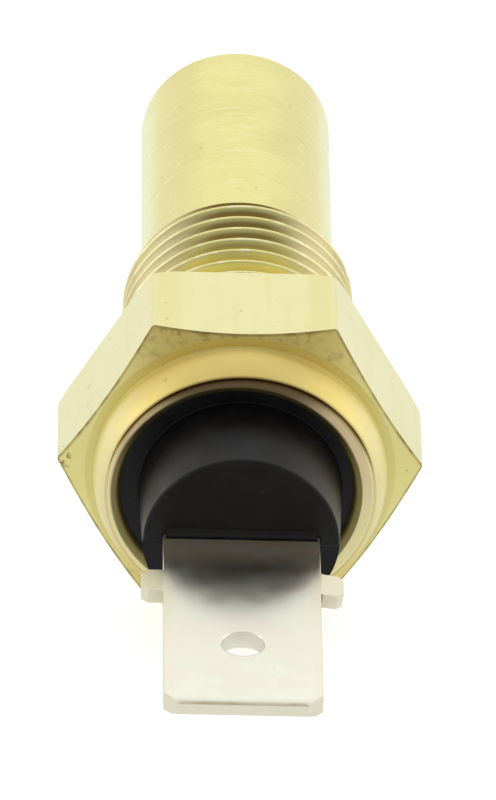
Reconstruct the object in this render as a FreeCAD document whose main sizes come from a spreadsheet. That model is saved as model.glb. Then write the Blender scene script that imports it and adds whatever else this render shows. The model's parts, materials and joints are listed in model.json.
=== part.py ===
import FreeCAD, Part
import Sketcher
import math
import os

# Coolant temperature sensor, screwed into an engine's water jacket.
# It is modelled standing on the tip of its probe: local Z runs from the tip to the blade's end.
# X runs across the blade and Y is the blade's thickness. Sizes are in millimetres.
# The last section lays the sensor down as it comes to rest.

SIZES = {
    # turned brass body, from the tip of the probe upwards
    "probe_diameter": 7.95,
    "probe_length": 12.7,
    "probe_edge_radius": 0.25,
    "thread_small_end_diameter": 9.45,
    "thread_start_diameter": 8.35,
    "thread_entry_length": 0.9,
    "thread_length": 9.25,
    "thread_taper": 16,
    "hex_across_flats": 12.9,
    "hex_height": 4.8,
    "hex_chamfer_inset": 0.29,
    "hex_back_chamfer_beyond": 1.3,
    "hex_chamfer_angle": 30,
    # bore and seat inside the body
    "bore_diameter": 5.8,
    "tip_wall": 1.5,
    "bore_mouth_chamfer": 0.3,
    "recess_diameter": 10.7,
    "recess_depth": 1.4,
    # collar and its crimped rim
    "collar_diameter": 11.95,
    "collar_straight": 0.25,
    "crease_diameter": 11.0,
    "crease_width": 0.14,
    "crease_depth": 0.12,
    "lip_thickness": 0.42,
    "lip_mouth_diameter": 10.14,
    "lip_inner_diameter": 9.44,
    "lip_land": 0.07,
    # black insulator
    "flange_thickness": 1.6,
    "flange_clearance": 0.05,
    "hub_diameter": 7.8,
    "spigot_clearance": 0.1,
    "spigot_length": 3.2,
    "boss_base_diameter": 8.24,
    "boss_top_diameter": 7.94,
    "boss_height": 4.15,
    "boss_step": 0.4,
    "boss_root_chamfer": 0.2,
    "boss_edge_chamfer": 0.15,
    "moulding_gap": 0.02,
    # tinned blade terminal
    "blade_width": 6.3,
    "blade_thickness": 0.8,
    "blade_reach": 12.1,
    "blade_embedded": 2.6,
    "tail_width": 3.0,
    "tail_protrusion": 0.4,
    "corner_cut": 0.55,
    "end_bevel_length": 0.28,
    "end_bevel_depth": 0.16,
    "ear_offset": 2.6,
    "ear_length": 1.5,
    "ear_span": 8.05,
    "ear_radius": 0.25,
    "hole_diameter": 1.7,
    "hole_from_end": 4.2,
    "hole_rim_bevel": 0.08,
    # sealing ring and the sensing stack in the bore
    "ring_height": 1.2,
    "ring_width": 1.25,
    "ring_corner_chamfer": 0.2,
    "ring_clearance": 0.1,
    "sleeve_wall": 0.4,
    "sleeve_clearance": 0.1,
    "sleeve_end_gap": 0.2,
    "thermistor_diameter": 4.5,
    "thermistor_thickness": 1.2,
    "thermistor_edge": 0.1,
    "seat_diameter": 4.3,
    "seat_thickness": 0.5,
    "seat_pip_diameter": 2.2,
    "seat_pip_height": 1.2,
    "seat_pip_chamfer": 0.3,
    "spring_wire": 0.5,
    "spring_mean_diameter": 3.0,
    "spring_turns": 5,
    "spring_wire_flat": 0.414,
}

doc = FreeCAD.newDocument("coolant_temperature_sensor")
sheet = doc.addObject("Spreadsheet::Sheet", "sizes")
sheet.Label = "sizes"


class Dim:
    """A length or angle that carries both its number and the formula that gives it."""

    def __init__(self, number, formula):
        self.number = number
        self.formula = formula

    @staticmethod
    def of(other):
        return other if isinstance(other, Dim) else Dim(float(other), repr(other))

    def joined(self, sign, other, number):
        return Dim(number, "(%s %s %s)" % (self.formula, sign, Dim.of(other).formula))

    def __add__(self, other):
        return self.joined("+", other, self.number + Dim.of(other).number)

    def __sub__(self, other):
        return self.joined("-", other, self.number - Dim.of(other).number)

    def __mul__(self, other):
        return self.joined("*", other, self.number * Dim.of(other).number)

    def __truediv__(self, other):
        return self.joined("/", other, self.number / Dim.of(other).number)

    def __neg__(self):
        return Dim(-self.number, "(0 - %s)" % self.formula)

    def tan(self):
        return Dim(math.tan(math.radians(self.number)), "tan(%s)" % self.formula)

    def root(self):
        return Dim(math.sqrt(self.number), "sqrt(%s)" % self.formula)


def write_sizes():
    """Fill the sheet, one row for each size, and return the sizes by name."""
    dims = {}
    for row, (name, number) in enumerate(SIZES.items(), start=1):
        sheet.set("A%d" % row, name)
        sheet.set("B%d" % row, str(number))
        sheet.setAlias("B%d" % row, name)
        dims[name] = Dim(float(number), "<<sizes>>.%s" % name)
    doc.recompute()
    return dims


D = write_sizes()
ZERO = Dim.of(0)


# Stations along the sensor's axis, measured up from the tip of the probe

Z_THREAD = D["probe_length"]
Z_HEX = Z_THREAD + D["thread_length"]
Z_FRONT = Z_HEX + D["hex_height"]
Z_SEAT = Z_FRONT - D["recess_depth"]
Z_FLANGE = Z_SEAT + D["ring_height"]
Z_FACE = Z_FLANGE + D["flange_thickness"]
Z_RIM = Z_FACE + D["lip_thickness"]
Z_BOSS = Z_FACE + D["boss_height"]
Z_BOSS_LOW = Z_BOSS - D["boss_step"]
Z_END = Z_BOSS + D["blade_reach"]
Z_SPIGOT = Z_SEAT - D["spigot_length"]
Z_TAIL = Z_SPIGOT - D["tail_protrusion"]
Z_DISC = D["tip_wall"]
Z_LOWER_SEAT = Z_DISC + D["thermistor_thickness"]


# Helpers for sketches and turned profiles

def new_body(label):
    body = doc.addObject("PartDesign::Body", label)
    body.Label = label
    return body


def origin_plane(body, role):
    for feature in body.Origin.OriginFeatures:
        if feature.Role == role:
            return feature
    raise RuntimeError("no plane " + role)


def bind(target, attribute, dim):
    target.setExpression(attribute, dim.formula)


def new_sketch(body, name, role):
    sketch = body.newObject("Sketcher::SketchObject", name)
    sketch.AttachmentSupport = [(origin_plane(body, role), "")]
    sketch.MapMode = "FlatFace"
    return sketch


def pin_point(sketch, geometry, position, axis, dim):
    """Fix one coordinate of a point of the sketch, measured from the sketch's origin."""
    if dim is ZERO:
        line = -2 if axis == "X" else -1
        sketch.addConstraint(Sketcher.Constraint("PointOnObject", geometry, position, line))
        return
    if dim.number >= 0:
        ends = (-1, 1, geometry, position)
        size = dim
    else:
        ends = (geometry, position, -1, 1)
        size = -dim
    index = sketch.addConstraint(Sketcher.Constraint("Distance" + axis, *ends, size.number))
    bind(sketch, "Constraints[%d]" % index, size)


def tangent_arc(start, end, heading):
    """An arc from start to end that leaves start in the given heading, and its turning sense."""
    chord = end - start
    side = FreeCAD.Vector(-heading.y, heading.x, 0)
    if side.dot(chord) < 0:
        side = side.negative()
    radius = chord.dot(chord) / (2 * chord.dot(side))
    centre = start + side * radius
    first = math.atan2(start.y - centre.y, start.x - centre.x)
    last = math.atan2(end.y - centre.y, end.x - centre.x)
    circle = Part.Circle(centre, FreeCAD.Vector(0, 0, 1), radius)
    left_turn = heading.cross(side).z > 0
    if left_turn:
        return Part.ArcOfCircle(circle, first, last if last > first else last + 2 * math.pi), True
    return Part.ArcOfCircle(circle, last, first if first > last else first + 2 * math.pi), False


def outline(body, name, role, corners, arcs=()):
    """A closed outline through the corners, each a pair of sizes.

    An index in arcs makes the edge that leaves that corner an arc, tangent to the edge before it.
    """
    sketch = new_sketch(body, name, role)
    count = len(corners)
    places = [FreeCAD.Vector(x.number, y.number, 0) for x, y in corners]
    edges = []
    for i in range(count):
        start = places[i]
        end = places[(i + 1) % count]
        if i in arcs:
            heading = (start - places[i - 1]).normalize()
            arc, forward = tangent_arc(start, end, heading)
            edges.append((sketch.addGeometry(arc), 1 if forward else 2, 2 if forward else 1))
        else:
            edges.append((sketch.addGeometry(Part.LineSegment(start, end)), 1, 2))
    for i in range(count):
        before, _, end_point = edges[i - 1]
        after, start_point, _ = edges[i]
        kind = "Tangent" if i in arcs else "Coincident"
        sketch.addConstraint(Sketcher.Constraint(kind, before, end_point, after, start_point))
    for i, (x, y) in enumerate(corners):
        geometry, start_point, _ = edges[i]
        pin_point(sketch, geometry, start_point, "X", x)
        pin_point(sketch, geometry, start_point, "Y", y)
    return sketch


def turn(body, name, kind, corners, arcs=()):
    """Turn a half-section, given as radius and station, about the sensor's axis."""
    sketch = outline(body, name + "_section", "XZ_Plane", corners, arcs)
    feature = body.newObject("PartDesign::" + kind, name)
    feature.Profile = sketch
    feature.ReferenceAxis = (sketch, ["V_Axis"])
    feature.Angle = 360
    doc.recompute()
    return feature


def volume_of(body):
    doc.recompute()
    return body.Shape.Volume


def must_cut(body, before):
    """Stop if the last cut took nothing away."""
    if not volume_of(body) < before - 1e-6:
        raise RuntimeError("a cut missed " + body.Label)


# Brass body: hexagon bar, turned outside, bored from the collar's end and crimped over

def make_brass_body():
    body = new_body("brass_body")
    bar = body.newObject("PartDesign::AdditivePrism", "hexagon")
    bar.Polygon = 6
    bind(bar, "Circumradius", D["hex_across_flats"] / Dim.of(3).root())
    bind(bar, "Height", D["hex_height"])
    bind(bar, "Placement.Base.z", Z_HEX)
    doc.recompute()

    beyond = D["hex_across_flats"]
    front_radius = (D["hex_across_flats"] - D["hex_chamfer_inset"]) / 2
    front_drop = (beyond - front_radius) * D["hex_chamfer_angle"].tan()
    before = volume_of(body)
    turn(body, "front_chamfer", "Groove", [
        (front_radius, Z_FRONT),
        (beyond, Z_FRONT - front_drop),
        (beyond, Z_FRONT),
    ])
    must_cut(body, before)
    back_radius = (D["hex_across_flats"] + D["hex_back_chamfer_beyond"]) / 2
    back_drop = (beyond - back_radius) * D["hex_chamfer_angle"].tan()
    before = volume_of(body)
    turn(body, "back_chamfer", "Groove", [
        (back_radius, Z_HEX),
        (beyond, Z_HEX),
        (beyond, Z_HEX + back_drop),
    ])
    must_cut(body, before)

    probe = D["probe_diameter"] / 2
    edge = D["probe_edge_radius"]
    thread_start = D["thread_start_diameter"] / 2
    small_end = D["thread_small_end_diameter"] / 2
    entry = D["thread_entry_length"]
    slope = D["thread_taper"] * 2
    thread_first = small_end + entry / slope
    thread_last = small_end + D["thread_length"] / slope
    collar = D["collar_diameter"] / 2
    crease = D["crease_diameter"] / 2
    crease_floor = crease - D["crease_width"] / 2
    rim_outer = crease - D["crease_width"]
    shoulder = Z_RIM - D["crease_depth"] / 2
    turn(body, "turned_outside", "Revolution", [
        (ZERO, ZERO),
        (probe - edge, ZERO),
        (probe, edge),
        (probe, Z_THREAD),
        (thread_start, Z_THREAD),
        (thread_first, Z_THREAD + entry),
        (thread_last, Z_HEX),
        (collar, Z_HEX),
        (collar, Z_FRONT + D["collar_straight"]),
        (crease, shoulder),
        (crease_floor, Z_RIM - D["crease_depth"]),
        (rim_outer, Z_RIM),
        (ZERO, Z_RIM),
    ], arcs=(1, 8))

    bore = D["bore_diameter"] / 2
    mouth = bore + D["bore_mouth_chamfer"]
    recess = D["recess_diameter"] / 2
    lip = D["lip_inner_diameter"] / 2
    before = volume_of(body)
    turn(body, "bored_inside", "Groove", [
        (ZERO, D["tip_wall"]),
        (bore, D["tip_wall"]),
        (bore, Z_SEAT - D["bore_mouth_chamfer"]),
        (mouth, Z_SEAT),
        (recess, Z_SEAT),
        (recess, Z_FACE),
        (lip, Z_FACE),
        (lip, Z_FACE + D["lip_land"]),
        (D["lip_mouth_diameter"] / 2, Z_RIM),
        (ZERO, Z_RIM),
    ])
    must_cut(body, before)
    return body


# Insulator head: flange under the crimped rim, hub on the seat, spigot in the bore, and boss

def make_insulator_head():
    body = new_body("insulator_head")
    flange = D["recess_diameter"] / 2 - D["flange_clearance"]
    hub = D["hub_diameter"] / 2
    spigot = D["bore_diameter"] / 2 - D["spigot_clearance"]
    base = D["boss_base_diameter"] / 2
    top = D["boss_top_diameter"] / 2
    root = D["boss_root_chamfer"]
    edge = D["boss_edge_chamfer"]
    turn(body, "moulded_form", "Revolution", [
        (ZERO, Z_SPIGOT),
        (spigot, Z_SPIGOT),
        (spigot, Z_SEAT),
        (hub, Z_SEAT),
        (hub, Z_FLANGE),
        (flange, Z_FLANGE),
        (flange, Z_FACE),
        (base + root, Z_FACE),
        (base, Z_FACE + root),
        (top, Z_BOSS - edge),
        (top - edge, Z_BOSS),
        (ZERO, Z_BOSS),
    ])
    wide = D["boss_base_diameter"]
    step = outline(body, "lower_half", "XZ_Plane", [
        (-wide, Z_BOSS_LOW),
        (wide, Z_BOSS_LOW),
        (wide, Z_BOSS + D["boss_step"]),
        (-wide, Z_BOSS + D["boss_step"]),
    ])
    before = volume_of(body)
    cut = body.newObject("PartDesign::Pocket", "lowered_half")
    cut.Profile = step
    bind(cut, "Length", wide)
    must_cut(body, before)

    gap = D["moulding_gap"]
    half_blade = D["blade_width"] / 2 + gap
    half_tail = D["tail_width"] / 2 + gap
    shoulder = Z_BOSS - D["blade_embedded"] - gap
    slot = outline(body, "terminal_slot_outline", "XZ_Plane", [
        (-half_tail, Z_SPIGOT - D["tail_protrusion"]),
        (half_tail, Z_SPIGOT - D["tail_protrusion"]),
        (half_tail, shoulder),
        (half_blade, shoulder),
        (half_blade, Z_BOSS + D["boss_step"]),
        (-half_blade, Z_BOSS + D["boss_step"]),
        (-half_blade, shoulder),
        (-half_tail, shoulder),
    ])
    before = volume_of(body)
    cut = body.newObject("PartDesign::Pocket", "terminal_slot")
    cut.Profile = slot
    cut.Midplane = True
    bind(cut, "Length", D["blade_thickness"] + gap * 2)
    must_cut(body, before)
    return body


# Blade terminal: one stamping with a tail inside the insulator, two ears, a hole and a bevelled end

def edges_where(shape, wanted):
    return ["Edge%d" % (i + 1) for i, edge in enumerate(shape.Edges) if wanted(edge)]


def make_blade_terminal():
    body = new_body("blade_terminal")
    half_blade = D["blade_width"] / 2
    half_tail = D["tail_width"] / 2
    half_ears = D["ear_span"] / 2
    shoulder = Z_BOSS - D["blade_embedded"]
    ear_low = Z_BOSS + D["ear_offset"]
    ear_high = ear_low + D["ear_length"]
    cut = D["corner_cut"]
    right_side = [
        (half_tail, Z_TAIL),
        (half_tail, shoulder),
        (half_blade, shoulder),
        (half_blade, ear_low),
        (half_ears, ear_low),
        (half_ears, ear_high),
        (half_blade, ear_high),
        (half_blade, Z_END - cut),
        (half_blade - cut, Z_END),
    ]
    left_side = [(-x, z) for x, z in reversed(right_side)]
    blank = outline(body, "strip_outline", "XZ_Plane", right_side + left_side)
    strip = body.newObject("PartDesign::Pad", "strip")
    strip.Profile = blank
    strip.Midplane = True
    bind(strip, "Length", D["blade_thickness"])
    doc.recompute()

    hole_sketch = new_sketch(body, "hole_outline", "XZ_Plane")
    centre = Z_END - D["hole_from_end"]
    circle = Part.Circle(FreeCAD.Vector(0, centre.number, 0), FreeCAD.Vector(0, 0, 1), 1)
    ring = hole_sketch.addGeometry(circle)
    pin_point(hole_sketch, ring, 3, "X", ZERO)
    pin_point(hole_sketch, ring, 3, "Y", centre)
    size = D["hole_diameter"]
    index = hole_sketch.addConstraint(Sketcher.Constraint("Diameter", ring, size.number))
    bind(hole_sketch, "Constraints[%d]" % index, size)
    before = volume_of(body)
    hole = body.newObject("PartDesign::Pocket", "hole")
    hole.Profile = hole_sketch
    hole.Type = "ThroughAll"
    hole.Midplane = True
    must_cut(body, before)

    end = Z_END.number
    flat = D["blade_thickness"].number / 2
    long_end = edges_where(hole.Shape, lambda e: (
        e.BoundBox.ZMin > end - 1e-6 and abs(abs(e.CenterOfMass.y) - flat) < 1e-6))
    bevel = body.newObject("PartDesign::Chamfer", "end_bevel")
    bevel.Base = (hole, long_end)
    bevel.ChamferType = "Two distances"
    bind(bevel, "Size", D["end_bevel_depth"])
    bind(bevel, "Size2", D["end_bevel_length"])
    doc.recompute()

    rims = edges_where(bevel.Shape, lambda e: e.Closed and abs(e.CenterOfMass.x) < 1e-6)
    rim = body.newObject("PartDesign::Chamfer", "hole_rim")
    rim.Base = (bevel, rims)
    bind(rim, "Size", D["hole_rim_bevel"])
    doc.recompute()

    reach = D["ear_span"].number / 2
    ear_ends = edges_where(rim.Shape, lambda e: (
        abs(abs(e.CenterOfMass.x) - reach) < 1e-6 and abs(e.CenterOfMass.y) < 1e-6))
    ears = body.newObject("PartDesign::Fillet", "ear_corners")
    ears.Base = (rim, ear_ends)
    bind(ears, "Radius", D["ear_radius"])
    doc.recompute()
    return body


# Sealing ring, squeezed between the flange and the seat, round the insulator's hub

def make_sealing_ring():
    body = new_body("sealing_ring")
    inner = D["hub_diameter"] / 2 + D["ring_clearance"]
    outer = inner + D["ring_width"]
    corner = D["ring_corner_chamfer"]
    turn(body, "squeezed_ring", "Revolution", [
        (inner + corner, Z_SEAT),
        (outer - corner, Z_SEAT),
        (outer, Z_SEAT + corner),
        (outer, Z_FLANGE - corner),
        (outer - corner, Z_FLANGE),
        (inner + corner, Z_FLANGE),
        (inner, Z_FLANGE - corner),
        (inner, Z_SEAT + corner),
    ])
    return body


# Sensing stack in the bore: sleeve, thermistor, two spring seats and the contact spring

def make_insulating_sleeve():
    body = new_body("insulating_sleeve")
    outer = D["bore_diameter"] / 2 - D["sleeve_clearance"]
    inner = outer - D["sleeve_wall"]
    top = Z_SPIGOT - D["sleeve_end_gap"]
    turn(body, "sleeve_tube", "Revolution", [
        (inner, Z_DISC),
        (outer, Z_DISC),
        (outer, top),
        (inner, top),
    ])
    return body


def make_thermistor_disc():
    body = new_body("thermistor_disc")
    radius = D["thermistor_diameter"] / 2
    edge = D["thermistor_edge"]
    turn(body, "pressed_disc", "Revolution", [
        (ZERO, Z_DISC),
        (radius - edge, Z_DISC),
        (radius, Z_DISC + edge),
        (radius, Z_LOWER_SEAT - edge),
        (radius - edge, Z_LOWER_SEAT),
        (ZERO, Z_LOWER_SEAT),
    ])
    return body


def make_spring_seat(label, back, facing_up):
    """A round plate with a pip that centres the spring; its back lies at the station given."""
    def along(distance):
        return back + distance if facing_up else back - distance

    body = new_body(label)
    plate = D["seat_diameter"] / 2
    pip = D["seat_pip_diameter"] / 2
    chamfer = D["seat_pip_chamfer"]
    pip_end = D["seat_thickness"] + D["seat_pip_height"]
    corners = [
        (ZERO, along(ZERO)),
        (plate, along(ZERO)),
        (plate, along(D["seat_thickness"])),
        (pip, along(D["seat_thickness"])),
        (pip, along(pip_end - chamfer)),
        (pip - chamfer, along(pip_end)),
        (ZERO, along(pip_end)),
    ]
    turn(body, label + "_turning", "Revolution", corners)
    return body


def make_contact_spring():
    body = new_body("contact_spring")
    wire = D["spring_wire"]
    lower = Z_LOWER_SEAT + D["seat_thickness"]
    upper = Z_TAIL - D["seat_thickness"]
    rise = upper - lower - wire
    middle = D["spring_mean_diameter"] / 2
    half = wire / 2
    flat = half * D["spring_wire_flat"]
    profile = outline(body, "wire_section", "XZ_Plane", [
        (middle - flat, lower),
        (middle + flat, lower),
        (middle + half, lower + half - flat),
        (middle + half, lower + half + flat),
        (middle + flat, lower + wire),
        (middle - flat, lower + wire),
        (middle - half, lower + half + flat),
        (middle - half, lower + half - flat),
    ])
    doc.recompute()
    coil = body.newObject("PartDesign::AdditiveHelix", "coil")
    coil.Profile = profile
    coil.ReferenceAxis = (profile, ["V_Axis"])
    coil.Mode = "height-turns-angle"
    bind(coil, "Height", rise)
    bind(coil, "Turns", D["spring_turns"])
    return body


NODES = [
    make_brass_body(),
    make_insulator_head(),
    make_blade_terminal(),
    make_sealing_ring(),
    make_insulating_sleeve(),
    make_thermistor_disc(),
    make_spring_seat("lower_spring_seat", Z_LOWER_SEAT, True),
    make_spring_seat("upper_spring_seat", Z_TAIL, False),
    make_contact_spring(),
]


# Rest: the sensor lies on the back edge of its lowest hexagon flat and on the edge of its tip

def resting_place():
    """The placement that lays the sensor on the floor, with the middle of its length at the origin."""
    half_flats = D["hex_across_flats"].number / 2
    probe = D["probe_diameter"].number / 2
    edge = D["probe_edge_radius"].number
    half_end = D["blade_thickness"].number / 2 - D["end_bevel_depth"].number
    along = Z_HEX.number - edge
    drop = half_flats - (probe - edge)
    tilt = math.atan2(drop, along) - math.asin(edge / math.hypot(drop, along))
    height = half_flats * math.cos(tilt) - Z_HEX.number * math.sin(tilt)
    far = (probe - edge) * math.sin(tilt) - edge * math.cos(tilt) + edge
    near = -Z_END.number * math.cos(tilt) - half_end * math.sin(tilt)
    turned = FreeCAD.Rotation(FreeCAD.Vector(1, 0, 0), 90 - math.degrees(tilt))
    return FreeCAD.Placement(FreeCAD.Vector(0, -(far + near) / 2, height), turned)


doc.recompute()
REST = resting_place()
for node in NODES:
    node.Placement = REST
doc.recompute()

for item in doc.Objects:
    if "Invalid" in item.State or "Error" in item.State:
        raise RuntimeError("failed feature: " + item.Label)
os.makedirs("parts", exist_ok=True)
for node in NODES:
    shape = node.Shape
    if shape.isNull() or not shape.isValid():
        raise RuntimeError("bad shape: " + node.Label)
    shape.exportStep("parts/%s.step" % node.Label)
    box = shape.BoundBox
    print("%s: %.2f mm3, %d solid, box %.3f %.3f %.3f to %.3f %.3f %.3f" % (
        node.Label, shape.Volume, len(shape.Solids),
        box.XMin, box.YMin, box.ZMin, box.XMax, box.YMax, box.ZMax))
print("tilt of the axis: %.3f degrees" % (90 - math.degrees(REST.Rotation.Angle)))
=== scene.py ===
# %% [markdown]
# # Coolant temperature sensor
#
# This lesson dresses a small engine sensor: a brass probe with a tapered pipe thread, a hexagon for
# the spanner, a collar crimped over a black insulator, and one tinned blade for the cable.
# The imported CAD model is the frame. It gives the sensor's place, its tilt on the floor and the
# pieces inside it. Everything that shows is modelled again here with finer edges.

# %% Load the frame
import json
import math
import bmesh
import bpy
from mathutils import Matrix, Vector


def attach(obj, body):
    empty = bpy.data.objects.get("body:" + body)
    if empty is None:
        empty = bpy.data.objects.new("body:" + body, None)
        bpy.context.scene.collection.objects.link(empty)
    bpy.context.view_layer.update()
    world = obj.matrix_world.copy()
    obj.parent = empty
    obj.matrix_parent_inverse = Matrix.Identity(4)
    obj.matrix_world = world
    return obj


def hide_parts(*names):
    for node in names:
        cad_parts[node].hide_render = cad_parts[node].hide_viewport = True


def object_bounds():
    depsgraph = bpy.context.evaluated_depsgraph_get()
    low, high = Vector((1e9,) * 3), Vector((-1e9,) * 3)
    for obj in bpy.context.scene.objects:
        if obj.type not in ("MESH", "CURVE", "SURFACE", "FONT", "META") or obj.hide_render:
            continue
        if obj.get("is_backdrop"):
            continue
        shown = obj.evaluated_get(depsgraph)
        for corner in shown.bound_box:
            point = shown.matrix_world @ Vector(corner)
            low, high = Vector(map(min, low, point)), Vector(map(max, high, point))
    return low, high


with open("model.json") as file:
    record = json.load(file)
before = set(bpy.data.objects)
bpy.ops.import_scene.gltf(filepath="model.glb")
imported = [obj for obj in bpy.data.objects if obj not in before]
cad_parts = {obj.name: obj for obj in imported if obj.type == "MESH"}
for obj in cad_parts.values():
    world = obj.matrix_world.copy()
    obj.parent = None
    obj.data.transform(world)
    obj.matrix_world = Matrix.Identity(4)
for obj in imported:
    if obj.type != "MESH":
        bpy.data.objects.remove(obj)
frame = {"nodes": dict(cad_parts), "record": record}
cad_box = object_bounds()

record = frame["record"]
print("nodes:", sorted(frame["nodes"]))

# %% [markdown]
# ## The sensor's own axis
#
# The sensor lies tilted on the floor, touching it with its hexagon and the edge of its probe.
# Tilted pieces are awkward to model, so each one is made standing on the tip of its probe, with Z up
# along the axis and one unit for a millimetre, and is laid down at the end. The probe's mount in the
# record gives the axis and a point on it, so the scene and the CAD model can't drift apart.

# %% Axis and stations, in millimetres
MM = 0.001
PROBE_RADIUS = 3.975
PROBE_LENGTH = 12.7
THREAD_LENGTH = 9.25
HEX_FLATS = 12.9
HEX_HEIGHT = 4.8
LIP_HEIGHT = 1.82

Z_THREAD = PROBE_LENGTH
Z_HEX = Z_THREAD + THREAD_LENGTH
Z_FRONT = Z_HEX + HEX_HEIGHT
Z_RIM = Z_FRONT + LIP_HEIGHT

probe_mount = next(m for m in record["mounts"] if m["name"] == "probe")
to_tip = Vector(probe_mount["axis"]).normalized()
tip = Vector(probe_mount["pos_m"]) + to_tip * PROBE_LENGTH / 2 * MM
axis_z = -to_tip
axis_x = Vector((1, 0, 0))
axis_y = axis_z.cross(axis_x)
TURNED = Matrix((axis_x, axis_y, axis_z)).transposed()
LAID_DOWN = Matrix.Translation(tip) @ (TURNED * MM).to_4x4()
LAID_DOWN[3][3] = 1
print("tilt of the axis: %.2f degrees" % math.degrees(math.asin(-axis_z.z)))

# %% [markdown]
# ## Camera
#
# The photograph looks along the sensor from in front of the blade and above it, with a long lens, so
# that parallel edges stay nearly parallel. The camera's direction is given against the sensor's own
# axis, and it is aimed a little above and to the right of the hexagon, as the photograph is framed.

# %% Camera
VIEW_HEIGHT = math.radians(32.35)
VIEW_TURN = math.radians(-1.569)
VIEW_ROLL = math.radians(2.084)
VIEW_DISTANCE = 500
LENS = 555.0
AIM_RIGHT = 0.322
AIM_UP = 2.851

hexagon_centre = Vector((0, 0, Z_FRONT))
toward_camera = Vector((
    math.sin(VIEW_TURN) * math.cos(VIEW_HEIGHT),
    math.sin(VIEW_HEIGHT),
    math.cos(VIEW_TURN) * math.cos(VIEW_HEIGHT),
))
level_right = Vector((math.cos(VIEW_TURN), 0, -math.sin(VIEW_TURN)))
level_up = toward_camera.cross(level_right)
view_right = level_right * math.cos(VIEW_ROLL) + level_up * math.sin(VIEW_ROLL)
view_up = level_up * math.cos(VIEW_ROLL) - level_right * math.sin(VIEW_ROLL)
eye = hexagon_centre + toward_camera * VIEW_DISTANCE
aim = hexagon_centre + view_right * AIM_RIGHT + view_up * AIM_UP

camera_back = (TURNED @ (eye - aim)).normalized()
camera_right = (TURNED @ view_up).cross(camera_back).normalized()
camera_up = camera_back.cross(camera_right)
camera_turn = Matrix((camera_right, camera_up, camera_back)).transposed().to_4x4()
bpy.ops.object.camera_add()
camera = bpy.context.object
camera.name = "camera"
camera.matrix_world = Matrix.Translation(LAID_DOWN @ eye) @ camera_turn
camera.data.lens = LENS
camera.data.clip_start = 0.01
bpy.context.scene.camera = camera
print("camera elevation: %.2f degrees" % math.degrees(math.asin(camera_back.z)))

# %% [markdown]
# ## Working by hand, without a window
#
# Each piece starts as a primitive or as one corner of an outline. The helpers below do what a
# modeller does with the mouse: clear the selection, pick faces or edges by where they are, and run
# one tool on them. The CAD body's size is printed, because the new one has to fill the same room.

# %% Helpers for picking and editing
MERGE = 0.002


def deselect_all():
    if bpy.context.object and bpy.context.object.mode != "OBJECT":
        bpy.ops.object.mode_set(mode="OBJECT")
    bpy.ops.object.select_all(action="DESELECT")


def work_on(obj):
    deselect_all()
    obj.select_set(True)
    bpy.context.view_layer.objects.active = obj


def pick(obj, kind, wanted):
    """Select the vertices, edges or faces of a mesh for which wanted(element) is true."""
    work_on(obj)
    bpy.ops.object.mode_set(mode="EDIT")
    bpy.ops.mesh.select_mode(type=kind)
    bpy.ops.mesh.select_all(action="DESELECT")
    mesh = bmesh.from_edit_mesh(obj.data)
    group = {"VERT": mesh.verts, "EDGE": mesh.edges, "FACE": mesh.faces}[kind]
    for element in group:
        if wanted(element):
            element.select_set(True)
    mesh.select_flush_mode()
    bmesh.update_edit_mesh(obj.data)


def pick_all(obj):
    """Open a mesh for editing with all of it selected."""
    work_on(obj)
    bpy.ops.object.mode_set(mode="EDIT")
    bpy.ops.mesh.select_all(action="SELECT")


def cut_across(point, normal, **settings):
    """Cut all faces of the open mesh by a plane."""
    bpy.ops.mesh.select_all(action="SELECT")
    bpy.ops.mesh.bisect(plane_co=point, plane_no=normal, threshold=MERGE / 10, **settings)


def face_outwards():
    """Turn all faces of the open mesh outwards."""
    bpy.ops.mesh.select_all(action="SELECT")
    bpy.ops.mesh.normals_make_consistent(inside=False)


def leave_edit():
    bpy.ops.object.mode_set(mode="OBJECT")


def finish_with(obj, kind, **settings):
    """Add one modifier with these settings and apply it."""
    work_on(obj)
    modifier = obj.modifiers.new(kind.lower(), kind)
    for name, value in settings.items():
        setattr(modifier, name, value)
    bpy.ops.object.modifier_apply(modifier=modifier.name)


def combine(obj, other, operation):
    """Join two solids, cut the second from the first or keep what they share."""
    finish_with(obj, "BOOLEAN", operation=operation, object=other, solver="EXACT")
    print("%s %s %s: %d faces" % (obj.name, operation.lower(), other.name, len(obj.data.polygons)))
    bpy.data.objects.remove(other)


def smooth(obj, sharpest):
    """Shade smoothly but keep sharp edges, and let the large faces set the direction of the light."""
    work_on(obj)
    bpy.ops.object.shade_smooth_by_angle(angle=math.radians(sharpest))
    finish_with(obj, "WEIGHTED_NORMAL", keep_sharp=True, weight=80)


def describe(obj):
    triangles = sum(len(p.vertices) - 2 for p in obj.data.polygons)
    print("%s: %d triangles, %.3f x %.3f x %.3f" % (obj.name, triangles, *obj.dimensions))


describe(frame["nodes"]["brass_body"])

# %% [markdown]
# ## Outlines, turned solids and simple stock
#
# A lathe part is an outline spun about its axis, and a stamped part is an outline with a thickness,
# so most pieces start as a line drawn corner by corner. Cutters are plain blocks and rods.

# %% Outlines and stock
TURN_STEPS = 144
CLEAR = 1


def drawn_line(name, corners):
    """An outline in the XZ plane, drawn by extruding one vertex from corner to corner."""
    deselect_all()
    bpy.ops.mesh.primitive_plane_add(size=1)
    obj = bpy.context.object
    obj.name = name
    bpy.ops.object.mode_set(mode="EDIT")
    bpy.ops.mesh.select_mode(type="VERT")
    bpy.ops.mesh.select_all(action="SELECT")
    bpy.ops.mesh.merge(type="CENTER")
    leave_edit()
    obj.data.vertices[0].co = (corners[0][0], 0, corners[0][1])
    bpy.ops.object.mode_set(mode="EDIT")
    bpy.ops.mesh.select_all(action="SELECT")
    for (r0, z0), (r1, z1) in zip(corners, corners[1:]):
        move = {"value": (r1 - r0, 0, z1 - z0)}
        bpy.ops.mesh.extrude_region_move(TRANSFORM_OT_translate=move)
    leave_edit()
    return obj


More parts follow.
